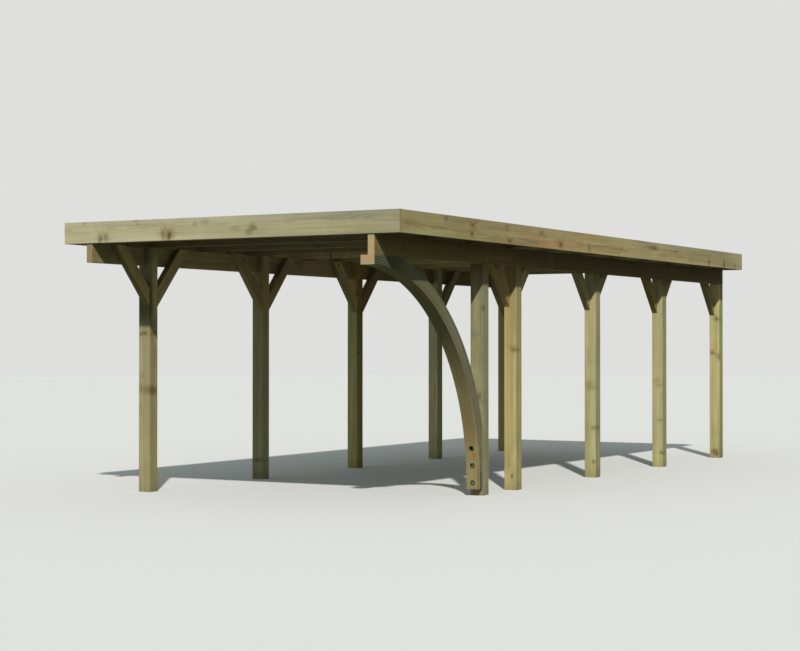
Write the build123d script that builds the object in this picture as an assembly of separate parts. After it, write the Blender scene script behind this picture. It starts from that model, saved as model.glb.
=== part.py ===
from build123d import *
import math
import os

# Flat-roofed open carport of treated softwood, in millimetres. X runs across the drive,
# Y from the drive-in end to the back, Z up. The origin lies on the ground under the
# middle of the roof. The right row has no post at its front corner: a laminated arch
# carries the purlin's front end instead, so that a car can swing in.

# Posts
post_side = 120
post_rounding = 6
bay_length = 1800
bay_count = 4
row_width = 2880
arch_post_to_next_post = 543

# Purlins, on edge in a notch at the outer side of each post
purlin_thickness = 60
purlin_height = 165
purlin_underside = 2025
purlin_rounding = 4
purlin_joint_step = 2620
purlin_setback = 12

# Knee braces, flat against the purlins' inner side
brace_thickness = 60
brace_depth = 110
brace_angle = 48
brace_reach = 477
brace_rounding = 4

# Arch of glued laminations
arch_width = 130
arch_depth = 125
arch_inner_radius = 1835
arch_toe_thickness = 63
arch_tip_thickness = 77
arch_ground_gap = 57
arch_edge_chamfer = 4

# Three coach screws hold the arch's foot, each sunk in a counterbore
screw_count = 3
screw_pitch = 150
screw_lowest_height = 112
screw_hole_diameter = 13
counterbore_diameter = 48
counterbore_floor_to_post = 45

# Roof
front_overhang = 737
side_overhang = 235
rafter_count = 11
rafter_width = 60
rafter_height = 120
rafter_rounding = 4
fascia_thickness = 28
fascia_height = 185
fascia_rounding = 3

# Ribbed roof sheet inside the fascia
sheet_thickness = 1
sheet_edge_gap = 6
rib_pitch = 205
rib_height = 30
rib_foot_width = 70
rib_crown_width = 34

# Levels and lines that the driving sizes set
wall_plate_top = purlin_underside + purlin_height
row_length = bay_count * bay_length + post_side
roof_length = front_overhang + row_length
roof_front = -roof_length / 2
roof_back = roof_length / 2
first_post_front = roof_front + front_overhang
row_outer = row_width / 2
roof_side = row_outer + side_overhang
purlin_front = roof_front + purlin_setback
purlin_back = first_post_front + row_length
purlin_joint = first_post_front + purlin_joint_step
arch_post_front = first_post_front + bay_length - arch_post_to_next_post - post_side
rafter_top = wall_plate_top + rafter_height
brace_slope = math.tan(math.radians(brace_angle))
brace_tip_height = wall_plate_top - brace_reach * brace_slope

LEFT = -1
RIGHT = 1
TOWARDS_BACK = 1
TOWARDS_FRONT = -1


def timber(start, direction, across, width, depth, length, rounding):
    """A planed length of timber: start is the middle of its first end, width lies along across."""
    end_plane = Plane(origin=start, x_dir=across, z_dir=direction)
    section = end_plane * RectangleRounded(width, depth, rounding)
    return extrude(section, amount=length)


def block(x_range, y_range, z_range):
    """A plain box between two corners, used to trim timber."""
    low = (x_range[0], y_range[0], z_range[0])
    high = (x_range[1], y_range[1], z_range[1])
    middle = tuple((a + b) / 2 for a, b in zip(low, high))
    return Pos(*middle) * Box(*(b - a for a, b in zip(low, high)))


def post(side, front):
    """A post with its outer half cut away at the top, where the purlin lies."""
    x_middle = side * (row_outer - post_side / 2)
    y_middle = front + post_side / 2
    body = timber(
        (x_middle, y_middle, 0), (0, 0, 1), (1, 0, 0),
        post_side, post_side, wall_plate_top, post_rounding,
    )
    notch_inner = side * (row_outer - purlin_thickness)
    notch_outer = side * (row_outer + purlin_thickness)
    notch = block(
        sorted((notch_inner, notch_outer)),
        (front - post_side, front + 2 * post_side),
        (purlin_underside, wall_plate_top + purlin_height),
    )
    return body - notch


def purlin(side, start, end):
    """One length of a purlin, its outer face flush with the posts."""
    x_middle = side * (row_outer - purlin_thickness / 2)
    z_middle = purlin_underside + purlin_height / 2
    return timber(
        (x_middle, start, z_middle), (0, 1, 0), (1, 0, 0),
        purlin_thickness, purlin_height, end - start, purlin_rounding,
    )


def knee_brace(side, face, way, free_length):
    """A brace that rises from a post's face towards the front or back, and ends level
    with the purlin's top. It is cut plumb at the post, and again where its room ends."""
    angle = math.radians(brace_angle)
    along = (way * math.cos(angle), math.sin(angle))
    upward = (-way * math.sin(angle), math.cos(angle))
    spare = brace_depth / brace_slope + brace_depth
    length = brace_reach / math.cos(angle) + 2 * spare
    y_start = face + upward[0] * brace_depth / 2 - along[0] * spare
    z_start = brace_tip_height + upward[1] * brace_depth / 2 - along[1] * spare
    x_inner = row_outer - purlin_thickness - brace_thickness
    x_middle = side * (x_inner + brace_thickness / 2)
    body = timber(
        (x_middle, y_start, z_start), (0, *along), (1, 0, 0),
        brace_thickness, brace_depth, length, brace_rounding,
    )
    room = block(
        sorted((side * x_inner, side * (x_inner + brace_thickness))),
        sorted((face, face + way * free_length)),
        (0, wall_plate_top),
    )
    return body & room


def bend_region(centre_y, centre_z, radius, reach):
    """All that lies inside a bend which turns from level to plumb: the round stretch,
    with straight ones before and below it. Drawn with Y across and Z up."""
    round_part = Pos(centre_y, centre_z) * Circle(radius)
    level_part = Pos(centre_y - reach / 2, centre_z + (radius - reach) / 2) * Rectangle(reach, radius + reach)
    plumb_part = Pos(centre_y + (radius - reach) / 2, centre_z - reach / 2) * Rectangle(radius + reach, reach)
    return round_part + level_part + plumb_part


def arch():
    """The laminated arch. Its back is cut plumb where it bears on its post and level
    where the purlin lies on it, so that it thins towards its foot and its tip."""
    centre_y = arch_post_front - arch_toe_thickness - arch_inner_radius
    centre_z = purlin_underside - arch_tip_thickness - arch_inner_radius
    reach = arch_inner_radius + arch_depth + roof_length
    outer = bend_region(centre_y, centre_z, arch_inner_radius + arch_depth, reach)
    inner = bend_region(centre_y, centre_z, arch_inner_radius, reach)
    span = arch_post_front - purlin_front
    rise = purlin_underside - arch_ground_gap
    trim = Pos((purlin_front + arch_post_front) / 2, arch_ground_gap + rise / 2) * Rectangle(span, rise)
    profile = (outer - inner) & trim
    row_plane = Plane(origin=(row_outer - arch_width, 0, 0), x_dir=(0, 1, 0), z_dir=(1, 0, 0))
    body = extrude(row_plane * profile, amount=arch_width)
    side_faces = body.faces().filter_by(Axis.X)
    body = chamfer(side_faces.edges(), arch_edge_chamfer)
    for index in range(screw_count):
        body -= screw_recess(screw_lowest_height + index * screw_pitch)
    return body


def screw_recess(height):
    """Counterbore and clearance hole of one coach screw, level, from the arch's hollow side."""
    x_middle = row_outer - arch_width / 2
    floor_y = arch_post_front - counterbore_floor_to_post
    into_arch = Plane(origin=(x_middle, floor_y, height), x_dir=(1, 0, 0), z_dir=(0, -1, 0))
    counterbore = extrude(into_arch * Circle(counterbore_diameter / 2), amount=arch_depth + arch_toe_thickness)
    hole = extrude(into_arch * Circle(screw_hole_diameter / 2), amount=-counterbore_floor_to_post)
    return counterbore + hole


def rafter(index):
    """A rafter across both purlins. The first and last lie against the fascia boards."""
    y_first = roof_front + fascia_thickness + rafter_width / 2
    y_last = roof_back - fascia_thickness - rafter_width / 2
    y_middle = y_first + (y_last - y_first) * index / (rafter_count - 1)
    x_start = -roof_side + fascia_thickness
    return timber(
        (x_start, y_middle, wall_plate_top + rafter_height / 2), (1, 0, 0), (0, 1, 0),
        rafter_width, rafter_height, -2 * x_start, rafter_rounding,
    )


def end_fascia(way):
    """The board across the front or the back, over the ends of the side boards."""
    y_middle = way * (roof_back - fascia_thickness / 2)
    return timber(
        (-roof_side, y_middle, wall_plate_top + fascia_height / 2), (1, 0, 0), (0, 1, 0),
        fascia_thickness, fascia_height, 2 * roof_side, fascia_rounding,
    )


def side_fascia(side):
    """The board along one side, between the front and back boards."""
    x_middle = side * (roof_side - fascia_thickness / 2)
    y_start = roof_front + fascia_thickness
    return timber(
        (x_middle, y_start, wall_plate_top + fascia_height / 2), (0, 1, 0), (1, 0, 0),
        fascia_thickness, fascia_height, -2 * y_start, fascia_rounding,
    )


def roof_sheet():
    """Ribbed sheet on the rafters, its ribs along the roof."""
    half_width = roof_side - fascia_thickness - sheet_edge_gap
    rib_count = int(2 * half_width // rib_pitch)
    underside = [(-half_width, 0)]
    for index in range(rib_count):
        x_middle = (index - (rib_count - 1) / 2) * rib_pitch
        underside += [
            (x_middle - rib_foot_width / 2, 0),
            (x_middle - rib_crown_width / 2, rib_height),
            (x_middle + rib_crown_width / 2, rib_height),
            (x_middle + rib_foot_width / 2, 0),
        ]
    underside.append((half_width, 0))
    upper_side = [(x, z + sheet_thickness) for x, z in reversed(underside)]
    profile = make_face(Polyline(*underside, *upper_side, close=True))
    sheet_front = roof_front + fascia_thickness + sheet_edge_gap
    end_plane = Plane(origin=(0, -sheet_front, rafter_top), x_dir=(1, 0, 0), z_dir=(0, -1, 0))
    return extrude(end_plane * profile, amount=-2 * sheet_front)


def row_posts(side):
    """Front faces of a row's posts by name, front to back."""
    fronts = {index + 1: first_post_front + index * bay_length for index in range(bay_count + 1)}
    if side == RIGHT:
        fronts.pop(1)
    return fronts


def braces_of_row(side, side_name):
    """Braces both ways on each post of a row, and only forwards on the last one."""
    made = {}
    fronts = row_posts(side)
    for number, front in fronts.items():
        if number > 1 or side == LEFT:
            if number == 1:
                before = purlin_front
            elif side == RIGHT and number == 2:
                before = arch_post_front + post_side
            else:
                before = fronts[number - 1] + post_side
            name = f"brace_{side_name}_{number}_front"
            made[name] = knee_brace(side, front, TOWARDS_FRONT, front - before)
        if number <= bay_count:
            back = front + post_side
            name = f"brace_{side_name}_{number}_back"
            made[name] = knee_brace(side, back, TOWARDS_BACK, fronts[number + 1] - back)
    return made


def carport():
    """Every piece by its node's name."""
    pieces = {}
    for side, side_name in ((LEFT, "left"), (RIGHT, "right")):
        for number, front in row_posts(side).items():
            pieces[f"post_{side_name}_{number}"] = post(side, front)
        pieces[f"purlin_{side_name}_front"] = purlin(side, purlin_front, purlin_joint)
        pieces[f"purlin_{side_name}_back"] = purlin(side, purlin_joint, purlin_back)
        pieces.update(braces_of_row(side, side_name))
        pieces[f"fascia_{side_name}"] = side_fascia(side)
    pieces["post_arch"] = post(RIGHT, arch_post_front)
    pieces["entry_arch"] = arch()
    for index in range(rafter_count):
        pieces[f"rafter_{index + 1:02d}"] = rafter(index)
    pieces["fascia_front"] = end_fascia(TOWARDS_FRONT)
    pieces["fascia_back"] = end_fascia(TOWARDS_BACK)
    pieces["roof_sheet"] = roof_sheet()
    return pieces


os.makedirs("parts", exist_ok=True)
for name, piece in carport().items():
    piece.label = name
    export_step(piece, os.path.join("parts", f"{name}.step"))
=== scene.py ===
import math
import random

import bmesh
import bpy
from mathutils import Matrix, Vector


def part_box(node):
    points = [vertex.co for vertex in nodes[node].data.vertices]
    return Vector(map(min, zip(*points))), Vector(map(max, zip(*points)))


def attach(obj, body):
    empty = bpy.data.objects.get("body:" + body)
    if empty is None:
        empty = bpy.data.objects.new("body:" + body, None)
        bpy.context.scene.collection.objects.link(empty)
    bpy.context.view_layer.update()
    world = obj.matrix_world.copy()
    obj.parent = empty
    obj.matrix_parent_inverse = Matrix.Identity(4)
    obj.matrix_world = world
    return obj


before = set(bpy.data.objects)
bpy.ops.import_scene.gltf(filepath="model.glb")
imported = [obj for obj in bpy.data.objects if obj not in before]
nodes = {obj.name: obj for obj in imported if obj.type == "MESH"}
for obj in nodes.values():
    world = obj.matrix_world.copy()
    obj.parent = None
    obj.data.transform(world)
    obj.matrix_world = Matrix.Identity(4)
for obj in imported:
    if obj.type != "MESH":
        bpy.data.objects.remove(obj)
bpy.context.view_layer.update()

PHOTO_WIDTH_PX = 800
FOCAL_LENGTH_PX = 1800.6
SENSOR_WIDTH_MM = 36.0
CAMERA_PLACE = (8.596, -16.172, 1.312)
CAMERA_YAW = math.radians(29.67)
CAMERA_PITCH = math.radians(0.63)
TOWARDS_SUN = Vector((0.421, -0.6515, 0.631))
FOOT_SCREW_HEIGHTS = (0.112, 0.262, 0.412)
BRACE_SLOPE = math.radians(48)
PURLIN_OUTER_X = 1.44
RIB_PITCH = 0.205
RIBS_TO_ONE_SIDE = 7
RAFTER_COUNT = 11
FRONT_BOARD_FACE_Y = -4.028
RIGHT_BOARD_FACE_X = 1.675
MARK_DEPTH = 0.05

BODY = "root"
RIGHT, FRONT, BACK = Vector((1, 0, 0)), Vector((0, -1, 0)), Vector((0, 1, 0))
UP, DOWN = Vector((0, 0, 1)), Vector((0, 0, -1))
FLOAT, VECTOR, COLOUR = "NodeSocketFloat", "NodeSocketVector", "NodeSocketColor"


class Value:
    """An output socket to reckon with: each plus, minus, times or divided by adds a math node."""

    def __init__(self, wiring, socket):
        self.wiring = wiring
        self.socket = socket

    def __add__(self, other):
        return self.wiring.math("ADD", self, other)

    def __sub__(self, other):
        return self.wiring.math("SUBTRACT", self, other)

    def __rsub__(self, other):
        return self.wiring.math("SUBTRACT", other, self)

    def __mul__(self, other):
        return self.wiring.math("MULTIPLY", self, other)

    def __truediv__(self, other):
        return self.wiring.math("DIVIDE", self, other)

    def __abs__(self):
        return self.wiring.math("ABSOLUTE", self)

    __radd__, __rmul__ = __add__, __mul__

    def ramp(self, start, end, low=0.0, high=1.0):
        """Runs smoothly from low at start to high at end, and stays flat beyond them."""
        values = {"Value": self, "From Min": start, "From Max": end, "To Min": low, "To Max": high}
        return self.wiring.value("ShaderNodeMapRange", values, interpolation_type="SMOOTHSTEP")


class Wiring:
    """Adds nodes to one tree and joins them. An input takes a number, a colour, a vector or a Value."""

    def __init__(self, tree):
        self.tree = tree

    def feed(self, socket, value):
        if isinstance(value, Value):
            self.tree.links.new(value.socket, socket)
        else:
            socket.default_value = value

    def feed_all(self, sockets, values):
        for key, value in values.items():
            self.feed(sockets[key], value)

    def node(self, kind, values=None, **settings):
        made = self.tree.nodes.new(kind)
        for name, setting in settings.items():
            setattr(made, name, setting)
        self.feed_all(made.inputs, values or {})
        return made

    def value(self, kind, values=None, output=0, **settings):
        """Adds a node and gives one of its outputs."""
        return Value(self, self.node(kind, values, **settings).outputs[output])

    def values(self, kind, values=None, **settings):
        """Adds a node and gives its outputs by name."""
        made = self.node(kind, values, **settings)
        return {socket.name: Value(self, socket) for socket in made.outputs}

    def math(self, operation, first, second=0.0):
        return self.value("ShaderNodeMath", {0: first, 1: second}, operation=operation)

    def most(self, first, second):
        return self.math("MAXIMUM", first, second)

    def length(self, first, second):
        return self.math("SQRT", first * first + second * second)

    def combine(self, x, y, z):
        return self.value("ShaderNodeCombineXYZ", {0: x, 1: y, 2: z})

    def separate(self, vector):
        return list(self.values("ShaderNodeSeparateXYZ", {0: vector}).values())

    def vector_math(self, operation, first, second=(0.0, 0.0, 0.0), output="Vector"):
        return self.value("ShaderNodeVectorMath", {0: first, 1: second}, output, operation=operation)

    def noise(self, place, scale, detail=2.0, roughness=0.5, shift=0.0, output=0):
        """A noise of about 0.5, with one scale or one for each way. Output 1 is three noises at once."""
        scales = scale if isinstance(scale, tuple) else (scale, scale, scale)
        values = {"Vector": self.vector_math("MULTIPLY", place, scales), "W": shift, "Scale": 1.0, "Detail": detail,
                  "Roughness": roughness}
        return self.value("ShaderNodeTexNoise", values, output, noise_dimensions="4D")

    def line_noise(self, value, output=0):
        values = {"W": value, "Scale": 1.0, "Detail": 1.0}
        return self.value("ShaderNodeTexNoise", values, output, noise_dimensions="1D")

    def white_noise(self, value, output):
        return self.value("ShaderNodeTexWhiteNoise", {"W": value}, output, noise_dimensions="1D")

    def blend(self, share, first, second, mode="MIX"):
        return self.value("ShaderNodeMix", {0: share, 6: first, 7: second}, 2, data_type="RGBA", blend_type=mode)

    def tint(self, share, colour, tint):
        """Multiplies a colour by a tint where share is 1."""
        return self.blend(share, colour, (*tint, 1.0), "MULTIPLY")

    def shade(self, colour, factor):
        """Multiplies a colour by a number."""
        if isinstance(colour, tuple):
            colour = colour[:3]
        return self.value("ShaderNodeVectorMath", {0: colour, "Scale": factor}, operation="SCALE")

    def bump(self, strength, distance, height):
        return self.value("ShaderNodeBump", {"Strength": strength, "Distance": distance, "Height": height})

    def group(self, tree, values):
        made = self.node("ShaderNodeGroup")
        made.node_tree = tree
        self.feed_all(made.inputs, values)
        return {socket.name: Value(self, socket) for socket in made.outputs}

    def seen_directly(self):
        """1 where the lens sees this surface, straight or mirrored, and 0 where light only bounces off it."""
        path = self.values("ShaderNodeLightPath")
        return self.most(path["Is Camera Ray"], self.most(path["Is Glossy Ray"], path["Is Transmission Ray"]))


def colour(red, green, blue):
    """Turns a display colour of 0 to 255 into the linear colour that a shader takes."""
    return (*[math.pow(level / 255, 2.2) for level in (red, green, blue)], 1.0)


def new_group(name, inputs, outputs, kind="ShaderNodeTree"):
    """Starts a node group. An input is its name and either its usual number or its socket type."""
    tree = bpy.data.node_groups.new(name, kind)
    for socket_name, usual in inputs.items():
        socket_type = {float: FLOAT, int: "NodeSocketInt"}.get(type(usual), usual)
        socket = tree.interface.new_socket(socket_name, in_out="INPUT", socket_type=socket_type)
        if socket_type != usual:
            socket.default_value = usual
    for socket_name, socket_type in outputs.items():
        tree.interface.new_socket(socket_name, in_out="OUTPUT", socket_type=socket_type)
    wiring = Wiring(tree)
    given = wiring.values("NodeGroupInput")
    result = wiring.node("NodeGroupOutput").inputs
    return wiring, given, result


def make_branch_group():
    """One branch to each length of trunk: where it crosses the timber there is a knot."""
    wiring, given, result = new_group(
        "branch", {"Grain Place": VECTOR, "Spacing": 0.5, "Knot Radius": 0.018, "Whorl Seed": 0.0, "Seed": 0.0},
        {"Knot": FLOAT, "Rim": FLOAT, "Swirl": FLOAT},
    )
    along, across, deep = wiring.separate(given["Grain Place"])
    spacing, whorl_seed = given["Spacing"], given["Whorl Seed"]
    cell = wiring.math("FLOOR", along / spacing + whorl_seed)
    whorl = wiring.white_noise(cell + whorl_seed, "Value")
    turn, size, jitter = wiring.separate(wiring.white_noise(cell + given["Seed"] * 7.31, "Color"))
    middle = (cell + 0.5 + (whorl - 0.5) * 0.55 - whorl_seed) * spacing + (jitter - 0.5) * 0.05
    angle = turn * (2 * math.pi)
    cosine, sine = wiring.math("COSINE", angle), wiring.math("SINE", angle)
    outwards = across * cosine + deep * sine
    aside = deep * cosine - across * sine
    rise = along - middle - outwards * 0.22
    growth = outwards.ramp(0.0, 0.06)
    radius = wiring.most(given["Knot Radius"] * (0.35 + size * 0.65) * growth, 0.0005)
    distance = wiring.length(rise, aside) / radius
    present = outwards.ramp(0.004, 0.012)
    spread = wiring.length(rise / radius * 0.36, aside / radius * 0.62)
    wiring.feed_all(result, {
        "Knot": distance.ramp(1.08, 0.86) * present,
        "Rim": abs(distance - 1.0).ramp(0.22, 0.0) * present,
        "Swirl": spread.ramp(2.2, 0.0) * growth * present,
    })
    return wiring.tree


MARK_INPUTS = {"Place": VECTOR, "Middle": VECTOR, "Half Size": VECTOR}
TONE_NAMES = ("Pale Wood", "Dark Wood", "Blush", "Heart Wood", "Treatment")


def from_mark(wiring, given):
    """The way from a mark's middle, measured in its half sizes."""
    from_middle = wiring.vector_math("SUBTRACT", given["Place"], given["Middle"])
    return wiring.vector_math("DIVIDE", from_middle, given["Half Size"])


def make_placed_knot_group():
    """A knot at a known place: a core, a soft dark halo, and two wings where the grain parts round it."""
    wiring, given, result = new_group(
        "placed_knot", {**MARK_INPUTS, "Grain": VECTOR, "Upwards": VECTOR, "Core": 1.0, "Wings": 0.5},
        {"Knot": FLOAT, "Rim": FLOAT, "Swirl": FLOAT, "Halo": FLOAT},
    )
    around = from_mark(wiring, given)
    distance = wiring.vector_math("LENGTH", around, output="Value")
    along = abs(wiring.vector_math("DOT_PRODUCT", around, given["Grain"], "Value"))
    upward = wiring.vector_math("DOT_PRODUCT", around, given["Upwards"], "Value")
    wing = abs(along - upward * 0.9).ramp(2.2, 0.0) * upward.ramp(0.2, 1.2) * upward.ramp(4.6, 1.8)
    wing = wing * distance.ramp(7.0, 5.0) * (given["Wings"] * 0.62)
    wiring.feed_all(result, {
        "Knot": distance.ramp(1.2, 0.7) * given["Core"],
        "Rim": abs(distance - 1.0).ramp(0.3, 0.0) * given["Core"],
        "Swirl": distance.ramp(4.5, 0.0),
        "Halo": wiring.most(distance.ramp(3.4, 0.5) * 0.5, wing),
    })
    return wiring.tree


def make_painted_shading_and_stain_group():
    """A soft-edged patch of another tone at a known place, used for stains and for painted light and shade."""
    wiring, given, result = new_group("stain_and_painted_shading", MARK_INPUTS, {"Mask": FLOAT})
    distance = wiring.vector_math("LENGTH", from_mark(wiring, given), output="Value")
    wiring.feed(result["Mask"], distance.ramp(1.3, 0.3))
    return wiring.tree


def make_sunk_screw_group():
    """Small screw heads sunk level with a board's face, in pairs at an even pitch along it."""
    wiring, given, result = new_group(
        "sunk_screws",
        {"Along": 0.0, "Height": 0.0, "First": 0.0, "Pitch": 0.5, "Middle Height": 0.0, "Half Step": 0.04,
         "Head Radius": 0.0036},
        {"Steel": FLOAT, "Rim": FLOAT},
    )
    part = wiring.math("FRACT", (given["Along"] - given["First"]) / given["Pitch"] + 0.5)
    aside = (part - 0.5) * given["Pitch"]
    rise = abs(given["Height"] - given["Middle Height"]) - given["Half Step"]
    distance = wiring.length(aside, rise) / given["Head Radius"]
    # Painted shade: the socket in the middle of each head is a dark spot with no hollow in the mesh. Rim holds it
    # together with the dark ring round the head.
    socket = distance.ramp(0.50, 0.38)
    rim = abs(distance - 1.15).ramp(0.35, 0.0)
    wiring.feed_all(result, {"Steel": distance.ramp(1.0, 0.9) * (1.0 - socket), "Rim": wiring.most(rim, socket)})
    return wiring.tree


def make_grain_group():
    """Planed softwood: year rings about a heart line, streaks, treatment tint and drying cracks."""
    wiring, given, result = new_group(
        "softwood_grain",
        {"Grain Place": VECTOR, "Grain Facing": VECTOR, "Seed": 0.0, "Ring Width": 0.005, "Knot": 0.0, "Rim": 0.0,
         "Swirl": 0.0, "Treated": 0.5, "Flushed": 0.4, "Cracks": 0.5, "Streaks": 1.0, "Knot Wood": COLOUR,
         "End Wood": COLOUR, **dict.fromkeys(TONE_NAMES, COLOUR)},
        {"Color": COLOUR, "Roughness": FLOAT, "Height": FLOAT},
    )
    place, seed = given["Grain Place"], given["Seed"]
    along, across, deep = wiring.separate(place)
    sway_across, sway_deep, sway_ring = wiring.separate(wiring.line_noise(along * 0.8 + seed, 1))
    across = across + (sway_across - 0.5) * 0.035
    deep = deep + (sway_deep - 0.5) * 0.035
    wave = wiring.noise(place, (4.0, 9.0, 9.0), shift=seed)
    from_heart = wiring.length(across, deep) + wave * 0.006 + given["Swirl"] * 0.011 + sway_ring * 0.004
    uneven = wiring.line_noise(from_heart * 45.0 + seed)
    years = from_heart / given["Ring Width"] + uneven * 2.2
    part = wiring.math("FRACT", years)
    late = part.ramp(0.3, 0.9) - part.ramp(0.93, 1.0)
    strong = wiring.line_noise(years * 0.55 + seed * 3.1)
    rings = late * strong.ramp(0.3, 0.65, 0.25, 1.0)

    fine = wiring.noise(place, (3.0, 170.0, 170.0), 3.0, 0.6, seed)
    middling = wiring.noise(place, (0.8, 42.0, 42.0), 3.0, 0.7, seed)
    broad = wiring.noise(place, (0.45, 9.0, 9.0), 2.0, 0.5, seed)
    streak = (fine - 0.5) * 0.5 + (middling - 0.5) * 1.1 + (broad - 0.5) * 1.3
    darkness = wiring.value("ShaderNodeClamp", {"Value": 0.30 + rings * 0.42 + streak * given["Streaks"]})
    wood = wiring.blend(darkness, given["Pale Wood"], given["Dark Wood"])

    heart = (from_heart + broad * 0.03).ramp(0.062, 0.040, 0.0, 0.75)
    wood = wiring.blend(heart, wood, wiring.blend(darkness, given["Heart Wood"], given["Dark Wood"]))
    patches = wiring.noise(place, (1.5, 16.0, 16.0), 3.0, 0.55, seed + 20.0)
    wood = wiring.blend(patches.ramp(0.35, 0.72) * given["Treated"], wood, given["Treatment"])
    warm_streaks = wiring.noise(place, (0.7, 20.0, 20.0), 2.0, 0.5, seed + 40.0)
    wood = wiring.blend(warm_streaks.ramp(0.48, 0.70) * given["Flushed"], wood, given["Blush"])
    wood = wiring.blend(given["Swirl"] * 0.25, wood, given["Dark Wood"])

    mottle = wiring.noise(place, 90.0, 2.0, 0.5, seed)
    wood = wiring.blend(given["Knot"] * 0.85, wood, wiring.shade(given["Knot Wood"], 0.65 + mottle * 0.8))
    wood = wiring.shade(wood, 1.0 - given["Rim"] * 0.38)

    crack_turn = seed * 2.4
    sine, cosine = wiring.math("SINE", crack_turn), wiring.math("COSINE", crack_turn)
    crack_side = across * sine - deep * cosine + (wave - 0.5) * 0.006
    crack_out = across * cosine + deep * sine
    opening = wiring.line_noise(along * 1.7 + seed * 1.7)
    crack = (abs(crack_side) - opening.ramp(0.47, 0.72, 0.0, 0.0019)).ramp(0.0006, -0.0004)
    crack = crack * crack_out.ramp(0.02, 0.035) * given["Cracks"]
    wood = wiring.shade(wood, 1.0 - crack * 0.75)

    cut_end = abs(wiring.separate(given["Grain Facing"])[0]).ramp(0.75, 0.95)
    end_wood = wiring.shade(given["End Wood"], 0.82 + (0.5 - rings) * 0.3 + mottle * 0.35)
    wiring.feed_all(result, {
        "Color": wiring.blend(cut_end * 0.8, wood, end_wood),
        "Roughness": 0.68 + fine * 0.22 + cut_end * 0.1,
        "Height": rings * 0.25 + fine * 0.35 - (crack * 3.0 + given["Rim"] * 0.5),
    })
    return wiring.tree


def make_weather_group():
    """What the weather leaves on the timber: grey top edges, run marks, splashes and green near the ground."""
    wiring, given, result = new_group(
        "weather",
        {"Place": VECTOR, "Facing": VECTOR, "Seed": 0.0, "Wood": COLOUR, "Grey Above": 9.0, "Greyness": 0.3,
         "Foot Dirt": 0.5, "Run Marks": 0.12},
        {"Color": COLOUR, "Dirt": FLOAT},
    )
    place, seed, grey_above, foot_dirt = given["Place"], given["Seed"], given["Grey Above"], given["Foot Dirt"]
    weathered, soil, green = (0.33, 0.32, 0.26, 1.0), (0.055, 0.045, 0.032, 1.0), (0.16, 0.20, 0.085, 1.0)
    height = wiring.separate(place)[2]
    facing_up = wiring.separate(given["Facing"])[2]
    patches = wiring.noise(place, 3.0, 4.0, 0.6, seed)
    runs = wiring.noise(place, (11.0, 11.0, 0.8), 1.0, 0.5, seed)
    grey_share = (height + (patches - 0.5) * 0.09).ramp(grey_above - 0.03, grey_above + 0.05)
    grey_share = wiring.most(grey_share, facing_up.ramp(0.5, 0.9))
    wood = wiring.blend(grey_share * given["Greyness"], given["Wood"], weathered)
    wood = wiring.shade(wood, 1.0 - runs.ramp(0.5, 0.8) * given["Run Marks"])
    wood = wiring.shade(wood, patches.ramp(0.25, 0.75, 1.06, 0.94))
    splash = (height + (patches - 0.5) * -0.16).ramp(0.14, 0.0) * foot_dirt
    speck_noise = wiring.noise(place, 130.0, 1.0, 0.5, seed)
    specks = speck_noise.ramp(0.66, 0.72) * height.ramp(0.45, 0.05) * foot_dirt
    wood = wiring.blend(splash * 0.75, wood, soil)
    wood = wiring.blend(specks * 0.6, wood, soil)
    green_share = patches.ramp(0.42, 0.7) * height.ramp(0.75, 0.1) * foot_dirt * 0.28
    wiring.feed_all(result, {"Color": wiring.blend(green_share, wood, green), "Dirt": wiring.most(splash, specks)})
    return wiring.tree


branch_group = make_branch_group()
placed_knot_group = make_placed_knot_group()
painted_shading_and_stain_group = make_painted_shading_and_stain_group()
sunk_screw_group = make_sunk_screw_group()
grain_group = make_grain_group()
weather_group = make_weather_group()

TIMBER_TONES = {
    "post": ((184, 176, 132), (146, 130, 88), (186, 160, 122), (188, 166, 118), (146, 148, 112)),
    "plate": ((162, 148, 106), (118, 98, 64), (156, 126, 92), (164, 136, 94), (120, 117, 80)),
    "front_board": ((183, 178, 146), (150, 142, 109), (178, 160, 130), (180, 164, 128), (154, 155, 124)),
    "side_board": ((180, 171, 129), (142, 125, 85), (186, 152, 114), (180, 156, 118), (150, 148, 113)),
    "laminated": ((176, 160, 116), (134, 112, 74), (182, 146, 112), (176, 144, 102), (130, 129, 96)),
}
KNOT_WOOD = colour(86, 72, 46)
END_WOOD = colour(168, 150, 110)
HALO_TINT = (0.56, 0.48, 0.38)
WOBBLE = (0.05, 0.05, 0.05)
PLAIN_LOOKS = {
    "tint": (1.0, 1.0, 1.0), "wobble_scale": 9.0, "face_axes": (RIGHT, UP), "placed_knots": (),
    "stains_and_painted_shading": (), "painted_face_shading": (), "branches": 1, "knot_spacing": 0.8, "knot_radius": 0.014, "ring_width": 0.0048,
    "flushed": 0.4, "treated": 0.5, "cracks": 0.7, "streaks": 1.0, "grey_above": 9.0, "greyness": 0.3,
    "foot_dirt": 0.0, "run_marks": 0.12, "screw_line": None,
}


def timber_tones(kind, tint):
    """The tones of one kind of timber, each multiplied by a tint."""
    tones = {}
    for name, shades in zip(TONE_NAMES, TIMBER_TONES[kind]):
        tones[name] = (*[level * share for level, share in zip(colour(*shades), tint)], 1.0)
    return tones


def middle_of(node):
    low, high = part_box(node)
    return (low + high) / 2


def turn_to_grain(grain):
    """The turn that lays the local X axis along the grain."""
    sideways = RIGHT if abs(grain.x) < 0.5 else BACK
    upwards = grain.cross(sideways).normalized()
    return Matrix((grain, upwards.cross(grain), upwards)).transposed().to_euler()


def start_material(name):
    material = bpy.data.materials.new(name)
    material.use_nodes = True
    wiring = Wiring(material.node_tree)
    material.node_tree.nodes.clear()
    shader = wiring.node("ShaderNodeBsdfPrincipled")
    output = wiring.node("ShaderNodeOutputMaterial")
    material.node_tree.links.new(shader.outputs[0], output.inputs["Surface"])
    return material, wiring, shader, wiring.values("ShaderNodeTexCoord")


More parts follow.
